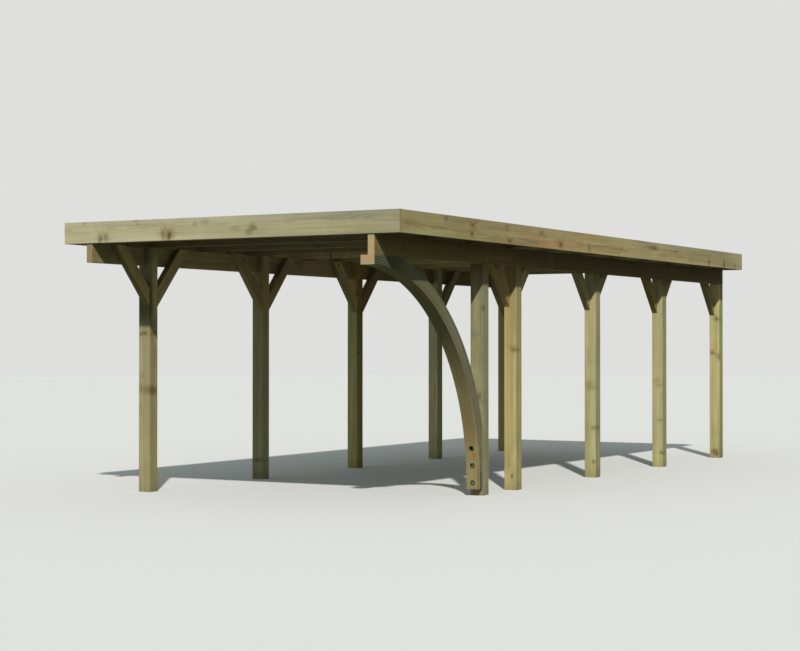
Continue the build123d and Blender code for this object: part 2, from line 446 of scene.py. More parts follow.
def add_knots(wiring, place, wobbly, looks):
    """The knots seen in known places and those of the chance branches, each as a group's outputs."""
    grain, upwards = looks["face_axes"]
    placed = []
    for mark in looks["placed_knots"]:
        core, wings, *flip = mark[6:]
        placed.append(wiring.group(placed_knot_group, {
            "Place": wobbly, "Middle": mark[:3], "Half Size": mark[3:6], "Grain": grain,
            "Upwards": upwards * (-1.0 if flip else 1.0), "Core": core, "Wings": wings}))
    grown = [wiring.group(branch_group, {
        "Grain Place": place, "Spacing": looks["knot_spacing"], "Knot Radius": looks["knot_radius"],
        "Whorl Seed": looks["seed"], "Seed": looks["seed"] + 1.37 * branch}) for branch in range(looks["branches"])]
    return placed, grown


def finish_timber(wiring, shader, coordinates, tones, place, facing, looks):
    """Joins knots, grain, marks, painted light and shade, weather and the shader of one timber, and gives its wood
    colour.
    """
    seed = looks["seed"]
    spread = wiring.noise(coordinates["Object"], looks["wobble_scale"], 3.0, 0.6, seed, output=1)
    spread = wiring.vector_math("MULTIPLY", wiring.vector_math("SUBTRACT", spread, (0.5, 0.5, 0.5)), WOBBLE)
    wobbly = wiring.vector_math("ADD", coordinates["Object"], spread)
    placed, grown = add_knots(wiring, place, wobbly, looks)
    masks = dict.fromkeys(("Knot", "Rim", "Swirl"), 0.0)
    for knot in placed + grown:
        masks = {name: wiring.most(knot[name], total) for name, total in masks.items()}
    grain = wiring.group(grain_group, {
        "Grain Place": place, "Grain Facing": facing, "Seed": seed, **tones, **masks,
        "Knot Wood": KNOT_WOOD, "End Wood": END_WOOD, "Ring Width": looks["ring_width"],
        "Flushed": looks["flushed"], "Treated": looks["treated"], "Cracks": looks["cracks"],
        "Streaks": looks["streaks"]})
    wood = grain["Color"]
    for knot in placed:
        wood = wiring.tint(knot["Halo"], wood, HALO_TINT)
    # Patches at known places: some are stains, others are painted light and shade.
    for mark in looks["stains_and_painted_shading"]:
        stain_and_painted_shading = wiring.group(painted_shading_and_stain_group, {"Place": wobbly, "Middle": mark[:3], "Half Size": mark[3:6]})
        wood = wiring.tint(stain_and_painted_shading["Mask"], wood, mark[6:])
    # Painted light and shade: a face turned a given way is made lighter or darker for how light falls on it.
    for direction, tint in looks["painted_face_shading"]:
        towards = wiring.vector_math("DOT_PRODUCT", coordinates["Normal"], direction, "Value")
        wood = wiring.tint(towards.ramp(0.6, 0.9), wood, tint)
    weather = wiring.group(weather_group, {
        "Place": coordinates["Object"], "Facing": coordinates["Normal"], "Seed": seed, "Wood": wood,
        "Grey Above": looks["grey_above"], "Greyness": looks["greyness"], "Foot Dirt": looks["foot_dirt"],
        "Run Marks": looks["run_marks"]})
    wiring.feed_all(shader.inputs, {
        "Base Color": weather["Color"], "Roughness": grain["Roughness"] + weather["Dirt"] * 0.15,
        "Normal": wiring.bump(0.5, 0.0008, grain["Height"]), "Specular IOR Level": 0.1})
    return weather["Color"]


def make_timber(node, kind, grain, heart, looks):
    """The material of one straight timber. Its heart line's place is counted from its middle."""
    looks = {**PLAIN_LOOKS, **looks}
    turn = turn_to_grain(grain)
    material, wiring, shader, coordinates = start_material(kind + "_timber_" + node)
    place = wiring.value("ShaderNodeMapping", {"Vector": coordinates["Object"], "Location": middle_of(node) + heart,
                                               "Rotation": turn}, vector_type="TEXTURE")
    facing = wiring.value("ShaderNodeMapping", {"Vector": coordinates["Normal"], "Rotation": turn},
                          vector_type="TEXTURE")
    tones = timber_tones(kind, looks["tint"])
    wood = finish_timber(wiring, shader, coordinates, tones, place, facing, looks)
    if looks["screw_line"]:
        add_sunk_screws(wiring, shader, wood, coordinates["Object"], looks["screw_line"])
    return material


def add_sunk_screws(wiring, shader, wood, place, line):
    """Sunk screw heads in a board's faces. The line is its axis, first place, pitch, height and half step."""
    axis, first, pitch, height, half_step = line
    steps = wiring.separate(place)
    screws = wiring.group(sunk_screw_group, {"Along": steps[axis], "Height": steps[2], "First": first,
                                             "Pitch": pitch, "Middle Height": height, "Half Step": half_step})
    # Darkens the wood at each rim and socket; the socket's dark is painted shade.
    wood = wiring.shade(wood, 1.0 - screws["Rim"] * 0.45)
    wiring.feed_all(shader.inputs, {"Base Color": wiring.blend(screws["Steel"], wood, (0.36, 0.34, 0.24, 1.0)),
                                    "Metallic": screws["Steel"] * 0.6})


def dress(node, material):
    slots = nodes[node].data.materials
    slots.clear()
    slots.append(material)


chance = random.Random(11)


def random_heart(reach_x, reach_y, reach_z):
    return Vector((chance.uniform(-reach_x, reach_x), chance.uniform(-reach_y, reach_y),
                   chance.uniform(-reach_z, reach_z)))


def front_marks(y, *rows):
    """Marks on a face that looks to the front. A row leaves out y and the half size in y."""
    return [(x, y, z, half_x, MARK_DEPTH, half_z, *rest) for x, z, half_x, half_z, *rest in rows]


def right_marks(x, *rows):
    """Marks on a face that looks to the right. A row leaves out x and the half size in x."""
    return [(x, y, z, MARK_DEPTH, half_y, half_z, *rest) for y, z, half_y, half_z, *rest in rows]


# Marks on known faces. A row holds the middle's x, y, z, the half size in x, y, z, and then,
# for a knot, the strength of its core and of its wings, or, for a patch, the tint's red, green and blue.
# Some patches are stains; those marked below are painted light and shade on faces that the roof shades.
POST_KNOTS = {
    "post_arch": front_marks(-2.15, (1.405, 0.86, 0.014, 0.018, 0.3, 0.4)) + [
        (1.44, -2.132, 1.642, 0.014, 0.01, 0.014, 0.6, 0.0)],
    "post_left_1": front_marks(
        -3.29, (-1.372, 1.42, 0.013, 0.009, 0.45, 0.3), (-1.412, 1.41, 0.014, 0.01, 0.35, 0.0),
    ) + [
        (-1.33, -3.235, 0.905, 0.022, 0.05, 0.02, 0.25, 0.0),
    ],
    "post_left_2": front_marks(-1.49, (-1.372, 0.186, 0.03, 0.01, 0.4, 0.0)),
    "post_right_2": front_marks(-1.49, (1.421, 1.274, 0.018, 0.012, 0.35, 0.0), (1.4, 0.129, 0.009, 0.016, 0.9, 0.3)),
    "post_right_3": front_marks(0.31, (1.425, 0.492, 0.02, 0.012, 0.2, 0.0), (1.411, 0.154, 0.011, 0.013, 0.7, 0.0)),
    "post_right_4": front_marks(2.11, (1.411, 0.506, 0.014, 0.01, 0.2, 0.0), (1.422, 0.156, 0.015, 0.01, 0.6, 0.0)),
    "post_right_5": front_marks(
        3.91, (1.408, 1.617, 0.02, 0.013, 0.55, 0.0), (1.357, 1.228, 0.017, 0.014, 0.45, 0.0),
        (1.38, 0.085, 0.02, 0.016, 0.15, 0.0), (1.413, 0.045, 0.012, 0.012, 0.9, 0.0),
    ),
}
POST_STAINS_AND_PAINTED_SHADING = {
    "post_arch": front_marks(
        -2.15, (1.36, 1.41, 0.06, 0.05, 0.84, 0.88, 0.98), (1.335, 1.5, 0.045, 0.34, 0.84, 0.8, 0.64),
        (1.37, 1.2, 0.1, 0.1, 0.92, 0.9, 0.87), (1.41, 0.68, 0.08, 0.13, 1.08, 1.14, 1.2),
    ) + [
        # Of the two rows below, the first is painted shade at the top of the post, under the roof.
        (1.38, -2.1, 2.1, 0.3, 0.3, 0.26, 0.68, 0.55, 0.34), (1.41, -2.1, 0.45, 0.09, 0.12, 0.4, 0.92, 0.98, 0.9),
    ],
    "post_left_1": front_marks(
        -3.29, (-1.42, 0.94, 0.03, 0.05, 0.86, 0.84, 0.84), (-1.38, 1.425, 0.07, 0.03, 0.86, 0.84, 0.82),
        # Of the two rows below, the second is painted shade at the top of the front face, in the roof's shadow.
        (-1.4, 1.04, 0.05, 0.03, 0.86, 0.84, 0.84), (-1.38, 1.72, 0.3, 0.25, 0.36, 0.43, 0.33),
    ) + [
        (-1.38, -3.25, 0.915, 0.085, 0.12, 0.055, 0.8, 0.77, 0.74),
        (-1.315, -3.24, 1.42, 0.02, 0.05, 0.035, 0.7, 0.54, 0.5),
        (-1.315, -3.24, 0.905, 0.02, 0.06, 0.045, 1.0, 0.85, 0.84),
        (-1.33, -3.23, 1.25, 0.03, 0.05, 0.35, 1.0, 0.84, 0.78),
        (-1.33, -3.23, 0.56, 0.03, 0.05, 0.25, 1.0, 0.86, 0.8),
        # Of the two rows below, the second is painted light on the shaded top of the right face.
        (-1.38, -3.25, 0.15, 0.1, 0.12, 0.16, 0.92, 0.93, 0.84), (-1.31, -3.2, 1.8, 0.03, 0.1, 0.42, 2.1, 1.85, 1.8),
    ],
    # Every row of post_left_2, post_left_3 and post_left_4 is painted light and shade on faces in the roof's shade.
    "post_left_2": [
        (-1.38, -1.44, 2.0, 0.3, 0.3, 0.34, 1.25, 1.06, 0.9), (-1.31, -1.43, 1.4, 0.03, 0.12, 0.4, 1.26, 1.14, 1.02),
    ],
    "post_left_3": [
        (-1.38, 0.36, 2.0, 0.3, 0.3, 0.34, 1.1, 0.88, 0.86), (-1.31, 0.36, 1.75, 0.03, 0.12, 0.45, 0.72, 0.72, 0.68),
    ],
    "post_left_4": [(-1.38, 2.16, 0.62, 0.14, 0.2, 0.42, 1.24, 1.14, 1.22)],
    "post_right_2": front_marks(
        -1.49, (1.37, 1.3, 0.08, 0.03, 0.93, 0.92, 0.86), (1.355, 1.0, 0.04, 0.32, 1.1, 1.1, 1.08),
        (1.345, 0.9, 0.05, 0.9, 0.95, 1.03, 0.98), (1.41, 1.5, 0.03, 0.48, 0.79, 0.75, 0.68),
        (1.425, 0.28, 0.02, 0.15, 1.18, 1.12, 1.18), (1.4, 0.55, 0.03, 0.4, 1.0, 0.96, 0.9),
        (1.36, 0.28, 0.05, 0.16, 0.82, 0.82, 0.76),
    ) + [
        # Both rows below are painted shade at the top of the post, on the right face and on the front.
        (1.44, -1.43, 2.05, 0.02, 0.3, 0.2, 0.76, 0.74, 0.82), (1.38, -1.44, 2.1, 0.3, 0.3, 0.26, 0.84, 0.78, 0.66),
    ],
    "post_right_3": front_marks(
        0.31, (1.36, 0.93, 0.07, 0.028, 0.84, 0.82, 0.76), (1.4, 0.89, 0.05, 0.022, 0.8, 0.77, 0.7),
        (1.38, 0.91, 0.1, 0.08, 0.92, 0.91, 0.88), (1.37, 0.05, 0.08, 0.1, 1.08, 1.04, 0.84),
        (1.34, 0.75, 0.02, 0.35, 1.03, 0.97, 0.95),
    ) + [
        # Painted shade at the top of the right face.
        (1.44, 0.37, 2.05, 0.02, 0.3, 0.2, 0.54, 0.48, 0.38),
    ],
    "post_right_4": front_marks(
        # The first row below is painted light at the top of the front face.
        2.11, (1.38, 2.05, 0.3, 0.26, 1.2, 1.12, 1.04), (1.36, 0.93, 0.07, 0.022, 0.85, 0.83, 0.77),
        (1.4, 0.88, 0.05, 0.02, 0.8, 0.78, 0.72), (1.38, 0.91, 0.1, 0.07, 0.92, 0.91, 0.88),
        (1.38, 0.06, 0.08, 0.1, 1.08, 1.04, 0.84),
    ) + [
        # Painted shade at the top of the right face.
        (1.44, 2.17, 2.05, 0.02, 0.3, 0.2, 0.52, 0.38, 0.4),
    ],
    "post_right_5": front_marks(
        # The first row below is painted light at the top of the front face.
        3.91, (1.38, 2.05, 0.3, 0.3, 1.6, 1.55, 1.5), (1.375, 1.3, 0.06, 0.06, 0.97, 0.89, 0.8),
        (1.39, 1.65, 0.03, 0.028, 0.86, 0.78, 0.7), (1.385, 1.215, 0.035, 0.016, 0.88, 0.8, 0.7),
        (1.412, 1.185, 0.022, 0.028, 0.86, 0.78, 0.7), (1.44, 1.18, 0.03, 0.05, 0.66, 0.64, 0.6),
        (1.38, 0.07, 0.06, 0.035, 0.72, 0.68, 0.62),
    ),
}
PURLIN_TONES_AND_PAINTED_SHADING = {
    # Painted shade at the back and painted light in the middle of the inner face, in the roof's shade.
    "purlin_left_back": [
        (-1.4, 3.2, 2.1, 0.2, 2.6, 0.9, 0.55, 0.5, 0.4), (-1.4, -0.9, 2.1, 0.2, 1.2, 0.5, 1.35, 1.3, 1.3),
    ],
    "purlin_left_front": [
        # The first row is painted light on the inner face; the second darkens the sunlit front end back from the
        # purlin's painted light.
        (-1.32, -2.3, 2.1, 0.08, 0.6, 0.3, 1.18, 1.15, 0.95), (-1.4, -4.1, 2.1, 0.2, 0.5, 0.3, 0.62, 0.62, 0.6),
    ],
    "purlin_right_front": [
        # The second row is painted shade on the outer face in the roof's shadow; the first and the row after are tones
        # of the front end.
        (1.44, -4.0, 2.1, 0.1, 0.22, 0.3, 0.78, 0.9, 1.12), (1.44, -0.85, 2.1, 0.1, 0.75, 0.4, 0.64, 0.7, 0.88),
        (1.38, -4.02, 2.1, 0.1, 0.03, 0.3, 1.34, 1.16, 1.05),
    ],
}
# A post's tint, and its right face's own. The first is partly the wood's tone and partly painted light
# and shade on posts in the roof's shade; the second is painted light and shade for how light falls on the right face.
POST_TONES_AND_PAINTED_SHADING = {
    "post_arch": ((0.7, 0.74, 0.8), (1.12, 1.12, 1.24)), "post_left_1": ((0.79, 0.82, 0.9), (0.98, 0.99, 0.88)),
    "post_left_2": ((0.74, 0.73, 0.82), (1.53, 1.58, 1.44)), "post_left_3": ((1.16, 1.16, 1.0), (0.98, 0.82, 0.7)),
    "post_left_4": ((1.36, 1.38, 1.5), (0.68, 0.78, 0.58)), "post_left_5": ((1.14, 1.0, 0.86), (1.0, 1.0, 1.0)),
    "post_right_2": ((1.02, 1.02, 0.91), (0.92, 0.88, 0.86)),
    "post_right_3": ((1.05, 1.14, 1.18), (0.78, 0.76, 0.8)),
    "post_right_4": ((1.0, 1.05, 1.05), (0.8, 0.86, 0.92)),
    "post_right_5": ((1.06, 1.1, 1.02), (0.72, 0.74, 0.68)),
}
# The first start of a name that fits gives the tint. These tints are partly the wood's tone and partly
# painted light and shade on the purlins, braces and rafters in the roof's shade.
PLATE_TONES_AND_PAINTED_SHADING = {
    "purlin_right_front": (0.78, 0.71, 0.51), "purlin_right_back": (0.43, 0.41, 0.3),
    "purlin_left_front": (1.55, 1.62, 1.75), "purlin_left_back": (1.3, 1.3, 1.3),
    "brace_right_2": (1.3, 1.28, 1.1), "brace_right_3": (1.12, 1.22, 1.2), "brace_right_4": (0.86, 0.92, 0.6),
    "brace_right": (0.95, 0.97, 0.86), "brace_left_1": (0.62, 0.68, 0.55), "brace_left": (1.02, 1.06, 0.96),
    **dict.fromkeys(("rafter_05", "rafter_07", "rafter_08", "rafter_09"), (1.2, 1.22, 1.2)),
    "rafter": (0.92, 0.95, 0.95),
}
# Painted light: the left braces are lighter on the face turned to the middle of the carport, for the light that falls
# on that face.
BRACE_INNER_PAINTED_LIGHT = {
    "brace_left_1": (3.2, 2.9, 3.3), "brace_left_2": (1.8, 1.66, 1.8), "brace_left_3_front": (2.3, 2.0, 2.2),
    "brace_left_3_back": (1.15, 1.05, 1.0), "brace_left_4_front": (1.6, 1.45, 1.5),
}
# Painted shade on the rafters' undersides, and painted light on the rafters from the fifth one back.
RAFTER_UNDERSIDE_PAINTED_SHADE = (0.55, 0.58, 0.62)
FAR_RAFTER_PAINTED_LIGHT = 1.75


def tints_for(node, table):
    return [tint for start, tint in table.items() if node.startswith(start)]


def brace_grain(node):
    """Upwards along a brace, away from its post."""
    way = -1 if node.endswith("front") else 1
    return Vector((0, way * math.cos(BRACE_SLOPE), math.sin(BRACE_SLOPE)))


def dress_frame():
    """Posts, purlins, braces and rafters."""
    for name in sorted(nodes):
        looks = {"seed": chance.uniform(2.0, 60.0)}
        if name.startswith("post"):
            # A post's tint is partly painted light and shade; its right face's tint is painted light and shade.
            tint, right_face_painted_shading = POST_TONES_AND_PAINTED_SHADING[name]
            looks |= {"foot_dirt": 0.35, "treated": 0.38, "cracks": 0.35, "knot_spacing": 1.3,
                      "streaks": 1.7 if name == "post_arch" else 1.2, "tint": tint,
                      "face_axes": (UP, RIGHT), "painted_face_shading": [(RIGHT, right_face_painted_shading)],
                      "placed_knots": POST_KNOTS.get(name, ()), "stains_and_painted_shading": POST_STAINS_AND_PAINTED_SHADING.get(name, ()),
                      "branches": 0 if name in POST_KNOTS else 1, "wobble_scale": (14.0, 14.0, 9.0)}
            kind, grain, heart = "post", UP, random_heart(0.05, 0.05, 0)
        elif name.startswith("purlin"):
            # The purlin's tint and patches are partly painted light and shade.
            looks |= {"treated": 0.4, "ring_width": 0.0042, "branches": 2, "tint": tints_for(name, PLATE_TONES_AND_PAINTED_SHADING)[0],
                      "stains_and_painted_shading": PURLIN_TONES_AND_PAINTED_SHADING.get(name, ())}
            kind, grain, heart = "plate", BACK, random_heart(0.07, 0, 0.05)
        elif name.startswith("brace"):
            # The tint is partly painted light and shade; the inner faces of the left braces get painted light.
            looks |= {"tint": tints_for(name, PLATE_TONES_AND_PAINTED_SHADING)[0],
                      "painted_face_shading": [(RIGHT, tint) for tint in tints_for(name, BRACE_INNER_PAINTED_LIGHT)]}
            kind, grain, heart = "plate", brace_grain(name), random_heart(0.06, 0.04, 0)
        elif name.startswith("rafter"):
            # Painted light: the rafters from the fifth one back are lightened.
            painted_light = 1.0 if int(name[-2:]) < 5 else FAR_RAFTER_PAINTED_LIGHT
            looks |= {"treated": 0.4, "branches": 2, "painted_face_shading": [(DOWN, RAFTER_UNDERSIDE_PAINTED_SHADE)],
                      "tint": [level * painted_light for level in tints_for(name, PLATE_TONES_AND_PAINTED_SHADING)[0]]}
            kind, grain, heart = "plate", RIGHT, random_heart(0, 0.05, 0.07)
        else:
            continue
        dress(name, make_timber(name, kind, grain, heart, looks))


dress_frame()

FRONT_BOARD_KNOTS = front_marks(
    FRONT_BOARD_FACE_Y,
    (-0.55, 2.233, 0.017, 0.026, 0.7, 0.4), (-0.614, 2.238, 0.008, 0.024, 0.2, 0.6),
    (-1.285, 2.222, 0.011, 0.028, 0.45, 0.4), (-1.223, 2.234, 0.01, 0.018, 0.15, 0.4),
)
FRONT_BOARD_STAINS = front_marks(
    FRONT_BOARD_FACE_Y,
    (0.95, 2.245, 0.6, 0.06, 1.18, 1.15, 1.11), (-0.565, 2.24, 0.105, 0.055, 0.72, 0.68, 0.61),
    (-1.255, 2.232, 0.085, 0.045, 0.8, 0.79, 0.76), (-1.45, 2.362, 0.025, 0.034, 0.72, 0.72, 0.7),
    (-0.9, 2.366, 0.024, 0.018, 0.62, 0.62, 0.64), (-0.872, 2.335, 0.02, 0.018, 0.78, 0.78, 0.78),
    (-0.285, 2.32, 0.034, 0.026, 0.74, 0.73, 0.71), (-0.19, 2.335, 0.06, 0.034, 0.74, 0.73, 0.72),
    (0.3, 2.276, 0.05, 0.032, 0.58, 0.55, 0.49), (0.262, 2.238, 0.046, 0.03, 0.7, 0.67, 0.61),
    (0.13, 2.27, 0.055, 0.026, 0.82, 0.8, 0.76), (1.6, 2.303, 0.1, 0.014, 1.04, 0.95, 0.88),
    (0.52, 2.318, 0.22, 0.008, 0.8, 0.79, 0.76), (1.03, 2.314, 0.22, 0.007, 0.83, 0.82, 0.8),
    (1.28, 2.34, 0.26, 0.01, 0.86, 0.86, 0.89), (1.25, 2.358, 0.09, 0.016, 0.9, 0.9, 0.92),
    (0.85, 2.345, 0.95, 0.038, 0.9, 0.89, 0.94), (-1.0, 2.345, 0.6, 0.03, 0.93, 0.93, 0.96),
    (1.35, 2.235, 0.32, 0.04, 0.94, 0.92, 0.82), (1.75, 2.285, 1.7, 1.0, 0.74, 0.75, 0.74),
)
RIGHT_BOARD_KNOTS = right_marks(
    RIGHT_BOARD_FACE_X,
    (-3.262, 2.343, 0.018, 0.011, 0.45, 0.9), (-2.79, 2.322, 0.028, 0.013, 0.35, 0.9),
    (-2.808, 2.248, 0.022, 0.011, 0.55, 0.9), (-2.089, 2.221, 0.024, 0.012, 0.5, 1.0),
    (-1.44, 2.325, 0.022, 0.012, 0.2, 0.7, True), (-1.026, 2.24, 0.022, 0.016, 0.35, 0.5),
    (-0.38, 2.236, 0.02, 0.014, 0.25, 0.7, True), (0.42, 2.257, 0.015, 0.01, 0.1, 0.0),
    (1.3, 2.318, 0.045, 0.01, 0.25, 0.0), (1.89, 2.302, 0.04, 0.007, 0.4, 0.0),
    (2.918, 2.236, 0.018, 0.022, 0.45, 0.0), (3.41, 2.236, 0.02, 0.024, 0.65, 0.0),
    (3.785, 2.226, 0.014, 0.014, 0.35, 0.0),
)
RIGHT_BOARD_STAINS = right_marks(
    RIGHT_BOARD_FACE_X,
    (-3.02, 2.33, 0.14, 0.02, 0.82, 0.82, 0.84), (-3.85, 2.285, 0.12, 0.05, 0.86, 0.88, 0.88),
    (-2.45, 2.24, 0.18, 0.026, 0.86, 0.88, 0.88), (-2.14, 2.335, 0.05, 0.045, 0.8, 0.7, 0.58),
    (-2.36, 2.325, 0.3, 0.024, 0.84, 0.82, 0.88), (-1.74, 2.345, 0.14, 0.022, 1.0, 0.8, 0.62),
    (-1.7, 2.248, 0.32, 0.018, 0.8, 0.76, 0.8), (-1.05, 2.245, 0.1, 0.045, 0.8, 0.76, 0.74),
    (-0.74, 2.345, 0.2, 0.016, 1.04, 0.82, 0.72), (-0.6, 2.255, 0.14, 0.028, 0.98, 0.84, 0.7),
    (0.18, 2.25, 0.2, 0.02, 0.9, 0.82, 0.78), (0.95, 2.365, 0.34, 0.02, 0.8, 0.72, 0.76),
    (1.2, 2.325, 0.16, 0.026, 0.66, 0.66, 0.72), (1.62, 2.307, 0.3, 0.008, 0.76, 0.74, 0.7),
    (2.75, 2.345, 1.5, 0.04, 0.92, 0.97, 1.06), (3.9, 2.29, 0.45, 0.3, 1.08, 1.1, 1.18),
    (-1.75, 2.23, 0.45, 0.03, 0.84, 0.94, 0.98), (-0.5, 2.278, 0.75, 0.028, 1.06, 1.12, 1.22),
    (3.15, 2.25, 0.98, 0.06, 0.84, 0.89, 0.92), (2.08, 2.258, 0.12, 0.02, 1.03, 0.92, 0.86),
    (2.86, 2.322, 0.14, 0.014, 1.08, 0.92, 0.88), (-4.1, 2.285, 2.2, 1.0, 0.82, 0.82, 0.75),
    (-3.3, 2.205, 0.9, 0.045, 1.1, 1.16, 1.14), (-3.7, 2.215, 0.5, 0.06, 1.14, 1.18, 1.19),
    (1.6, 2.28, 0.35, 0.06, 1.14, 1.13, 1.13), (-0.7, 2.285, 2.1, 0.6, 1.07, 0.97, 0.9),
    (2.4, 2.235, 1.0, 0.06, 1.08, 1.08, 1.08),
)

first_rafter = middle_of("rafter_01")
rafter_pitch = (middle_of("rafter_11").y - first_rafter.y) / (RAFTER_COUNT - 1)
SIDE_SCREW_LINE = (1, first_rafter.y, rafter_pitch, first_rafter.z, 0.032)
END_SCREW_LINE = (0, 0.0, 0.53, first_rafter.z, 0.036)


def dress_boards():
    """The four boards round the roof."""
    shared = {"ring_width": 0.0052, "treated": 0.45, "cracks": 0.3, "grey_above": 2.335, "knot_spacing": 1.1,
              "run_marks": 0.03, "streaks": 1.5}
    front = {"placed_knots": FRONT_BOARD_KNOTS, "stains_and_painted_shading": FRONT_BOARD_STAINS, "branches": 0,
             "wobble_scale": (6.0, 6.0, 22.0)}
    right = {"placed_knots": RIGHT_BOARD_KNOTS, "stains_and_painted_shading": RIGHT_BOARD_STAINS, "branches": 0,
             "face_axes": (BACK, UP), "wobble_scale": (6.0, 4.0, 22.0)}
    for name, kind, grain, heart, line, own in (
        ("fascia_front", "front_board", RIGHT, Vector((0, 0.09, 0.03)), END_SCREW_LINE, front),
        ("fascia_back", "front_board", RIGHT, Vector((0, -0.09, -0.02)), END_SCREW_LINE, {}),
        ("fascia_right", "side_board", BACK, Vector((-0.10, 0, -0.03)), SIDE_SCREW_LINE, right),
        ("fascia_left", "side_board", BACK, Vector((0.10, 0, 0.02)), SIDE_SCREW_LINE, {}),
    ):
        looks = {**shared, "seed": chance.uniform(2.0, 60.0), "screw_line": line, **own}
        dress(name, make_timber(name, kind, grain, heart, looks))


dress_boards()

BEND_MIDDLE_Y, BEND_MIDDLE_Z = -4.0525, 0.113
BEND_RADIUS = 1.835
LAYER_THICKNESS = 0.0205
# Patches on the arch, each a middle, half sizes and a tint. The rows with a middle at z 1.55 or higher are painted
# shade on the arch's upper part under the roof; the others are stains and changes of tone.
ARCH_STAINS_AND_PAINTED_SHADE = (
    (1.4, -2.24, 0.345, 0.035, 0.05, 0.045, 1.08, 0.74, 0.66), (1.36, -2.27, 0.62, 0.05, 0.1, 0.24, 1.0, 0.88, 0.8),
    (1.42, -2.24, 0.4, 0.02, 0.05, 0.12, 1.06, 1.08, 0.9), (1.38, -2.24, 0.2, 0.2, 0.2, 0.36, 1.36, 1.4, 1.38),
    (1.42, -3.85, 1.97, 0.3, 0.35, 0.16, 0.62, 0.7, 0.66), (1.3, -3.2, 1.8, 0.1, 0.6, 0.3, 0.8, 0.92, 0.84),
    (1.432, -2.175, 0.16, 0.02, 0.055, 0.32, 0.5, 0.48, 0.56), (1.38, -2.9, 1.55, 0.12, 0.9, 0.55, 0.84, 0.92, 0.78),
    (1.35, -3.7, 1.93, 0.09, 0.4, 0.09, 0.74, 0.8, 0.6), (1.45, -2.85, 1.35, 0.03, 0.45, 0.3, 1.22, 1.14, 1.45),
)


def make_laminated_arch_material():
    """Bent layers glued together: each layer has its own grain, and a dark glue line lies between two layers."""
    material, wiring, shader, coordinates = start_material("laminated_arch")
    x, y, z = wiring.separate(coordinates["Object"])
    plumb_y = y - BEND_MIDDLE_Y
    level_z = z - BEND_MIDDLE_Z
    out = wiring.length(plumb_y, wiring.most(level_z, 0.0)) - BEND_RADIUS
    along = wiring.math("ARCTAN2", level_z, plumb_y) * BEND_RADIUS
    level = out / LAYER_THICKNESS
    number = wiring.math("FLOOR", level)
    dice = wiring.separate(wiring.white_noise(number, "Color"))
    from_middle = x - middle_of("entry_arch").x
    place = wiring.combine(along + dice[2] * 3.0, from_middle + (dice[0] - 0.5) * 0.2,
                           out - number * LAYER_THICKNESS + dice[1] * 0.05 + 0.03)
    looks = {**PLAIN_LOOKS, "seed": 7.7, "foot_dirt": 0.35, "cracks": 0.0, "branches": 2, "knot_radius": 0.010,
             "flushed": 0.5, "stains_and_painted_shading": ARCH_STAINS_AND_PAINTED_SHADE}
    tones = timber_tones("laminated", looks["tint"])
    wood = finish_timber(wiring, shader, coordinates, tones, place, (0.0, 0.0, 1.0), looks)
    facing_x, facing_y, _ = wiring.separate(coordinates["Normal"])
    side = abs(facing_x).ramp(0.6, 0.9)
    wood = wiring.tint(side, wood, (0.52, 0.61, 0.76))
    at_tip = side * y.ramp(-3.45, -3.75)
    glue = wiring.math("PINGPONG", level, 0.5).ramp(0.11 + at_tip * 0.17, 0.03)
    wood = wiring.shade(wood, 0.88 + dice[1] * 0.24)
    wood = wiring.shade(wood, 1.0 - glue * (0.35 + side * 0.30))
    # Painted shade inside the counterbores of the coach screws in the arch's foot.
    recess_painted_shade = out.ramp(0.0006, 0.0014) * abs(from_middle).ramp(0.032, 0.028) * z.ramp(0.50, 0.48)
    wood = wiring.tint(recess_painted_shade, wood, (0.34, 0.34, 0.22))
    cut_tip = y.ramp(-4.008, -4.012) * facing_y.ramp(-0.6, -0.9)
    tip_wood = wiring.blend(z.ramp(1.985, 1.98), colour(182, 150, 110), colour(172, 160, 124))
    wiring.feed(shader.inputs["Base Color"], wiring.blend(cut_tip * 0.7, wood, tip_wood))
    return material


def make_coated_sheet_material():
    """Coated steel with dust in its valleys and faint run marks along its ribs."""
    material, wiring, shader, coordinates = start_material("coated_sheet")
    place = coordinates["Object"]
    height = wiring.separate(place)[2]
    facing_up = wiring.separate(coordinates["Normal"])[2]
    patches = wiring.noise(place, (2.2, 0.9, 2.0), 4.0, 0.6, 3.0)
    runs = wiring.noise(place, (45.0, 0.8, 1.0), 3.0, 0.6, 5.0)
    grit = wiring.noise(place, 60.0, 3.0, 0.6, 8.0)
    valley = height.ramp(2.330, 2.310)
    dust = (0.25 + valley * 0.4) * patches.ramp(0.3, 0.7, 0.35, 1.0) * grit.ramp(0.3, 0.7, 0.7, 1.1)
    dust = dust * facing_up.ramp(0.1, 0.8)
    coat = wiring.shade(colour(84, 88, 88), runs.ramp(0.3, 0.7, 1.12, 0.86))
    top = wiring.blend(dust, coat, colour(150, 144, 128))
    under = wiring.shade(colour(126, 120, 104), patches.ramp(0.3, 0.7, 1.05, 0.9))
    wiring.feed_all(shader.inputs, {
        "Base Color": wiring.blend(facing_up.ramp(-0.2, 0.0), under, top), "Roughness": 0.48 + dust * 0.40,
        "Normal": wiring.bump(0.3, 0.0006, grit), "Specular IOR Level": 0.3})
    return material


def make_zinc_steel():
    """Dull zinc-coated steel with fine spots."""
    material, wiring, shader, coordinates = start_material("zinc_steel")
    spots = wiring.noise(coordinates["Object"], 420.0, 2.0, 0.6, 4.0)
    film = wiring.noise(coordinates["Object"], 60.0, 3.0, 0.6, 9.0)
    steel = wiring.blend(spots.ramp(0.35, 0.7), (0.24, 0.23, 0.11, 1.0), (0.15, 0.14, 0.06, 1.0))
    wiring.feed_all(shader.inputs, {
        "Base Color": wiring.blend(film.ramp(0.5, 0.8), steel, (0.16, 0.14, 0.08, 1.0)),
        "Roughness": film.ramp(0.3, 0.7, 0.50, 0.72), "Normal": wiring.bump(0.25, 0.0002, spots), "Metallic": 0.6})
    return material


dress("entry_arch", make_laminated_arch_material())
dress("roof_sheet", make_coated_sheet_material())


